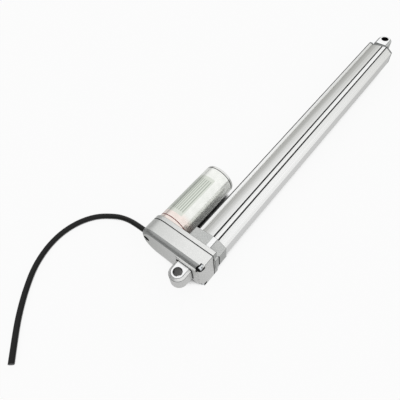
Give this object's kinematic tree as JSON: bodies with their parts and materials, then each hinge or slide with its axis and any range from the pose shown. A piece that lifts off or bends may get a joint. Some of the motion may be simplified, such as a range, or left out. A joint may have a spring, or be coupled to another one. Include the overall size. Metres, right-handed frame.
{
  "type": "electric linear actuator",
  "caption": "Electric linear actuator: a motor beside a gear housing turns a screw that pushes a rod out of an extruded tube, with a pin ear at each end.",
  "frame": {"origin": "centre of the rear pivot bore, on the axis of the screw and the rod", "axes": "+X from the rear pivot to the rod eye, +Y towards the motor, +Z along the pivot bores, up as it lies"},
  "size_m": [0.6245, 0.1715, 0.041],
  "materials": {
    "cast_alloy": "die cast, fine blasted",
    "tube_alloy": "extruded, silver anodised",
    "rod_steel": "polished stainless tube",
    "bright_steel": "machined",
    "screw_steel": "zinc plated",
    "can_steel": "zinc plated sheet",
    "seal_rubber": "matt black",
    "cable_jacket": "smooth black jacket",
    "bearing_polymer": "natural acetal",
    "gear_polymer": "moulded acetal",
    "brass_parts": "machined",
    "copper_parts": "enamelled copper",
    "core_iron": "stacked sheet iron",
    "magnet_ferrite": "sintered ferrite",
    "card_plastic": "moulded",
    "board_laminate": "glass laminate",
    "label_film": "plain silver-white film",
    "band_film": "red film"
  },
  "bodies": {
    "actuator_body": {"rear_housing": "cast_alloy", "housing_gasket": "seal_rubber", "front_housing": "cast_alloy", "rear_clevis": "cast_alloy", "housing_screws": "screw_steel", "outer_tube": "tube_alloy", "tube_end_cap": "tube_alloy", "end_cap_screws": "screw_steel", "rod_wiper": "seal_rubber", "guide_bush": "bearing_polymer", "main_bearing": "bright_steel", "rear_bush": "brass_parts", "gear_axle": "bright_steel", "motor_can": "can_steel", "motor_screws": "screw_steel", "motor_end_cap": "can_steel", "motor_bushes": "brass_parts", "motor_magnets": "magnet_ferrite", "brush_card": "card_plastic", "motor_label": "label_film", "label_band": "band_film", "limit_board": "board_laminate", "limit_switches": "card_plastic", "cable_grommet": "seal_rubber", "power_cable": "cable_jacket"},
    "armature": {"motor_pinion": "brass_parts", "motor_shaft": "bright_steel", "armature_core": "core_iron", "armature_winding": "copper_parts", "commutator": "copper_parts"},
    "idler": {"idler_gear": "gear_polymer"},
    "screw": {"lead_screw": "bright_steel", "screw_tip_guide": "bearing_polymer", "screw_clip": "bright_steel", "screw_gear": "gear_polymer"},
    "rod": {"inner_rod": "rod_steel", "rod_eye": "cast_alloy", "lead_nut": "bearing_polymer", "nut_key": "bearing_polymer"}
  },
  "joints": [
    {"name": "motor_spin", "type": "hinge", "parent": "actuator_body", "child": "armature", "pos_m": [0, 0.0415, 0], "axis": [-1, 0, 0], "range_deg": [0, 201800]},
    {"name": "idler_spin", "type": "hinge", "parent": "actuator_body", "child": "idler", "pos_m": [0, 0.0205, 0], "axis": [-1, 0, 0], "range_deg": [-90463, 0]},
    {"name": "screw_spin", "type": "hinge", "parent": "actuator_body", "child": "screw", "pos_m": [0, 0, 0], "axis": [-1, 0, 0], "range_deg": [0, 42001]},
    {"name": "rod_slide", "type": "slide", "parent": "actuator_body", "child": "rod", "axis": [1, 0, 0], "range_m": [0, 0.35]}
  ],
  "couplings": [
    {"joint": "screw_spin", "follows": "rod_slide", "rad_per_m": 2094.4},
    {"joint": "idler_spin", "follows": "rod_slide", "rad_per_m": -4511},
    {"joint": "motor_spin", "follows": "rod_slide", "rad_per_m": 10063}
  ]
}
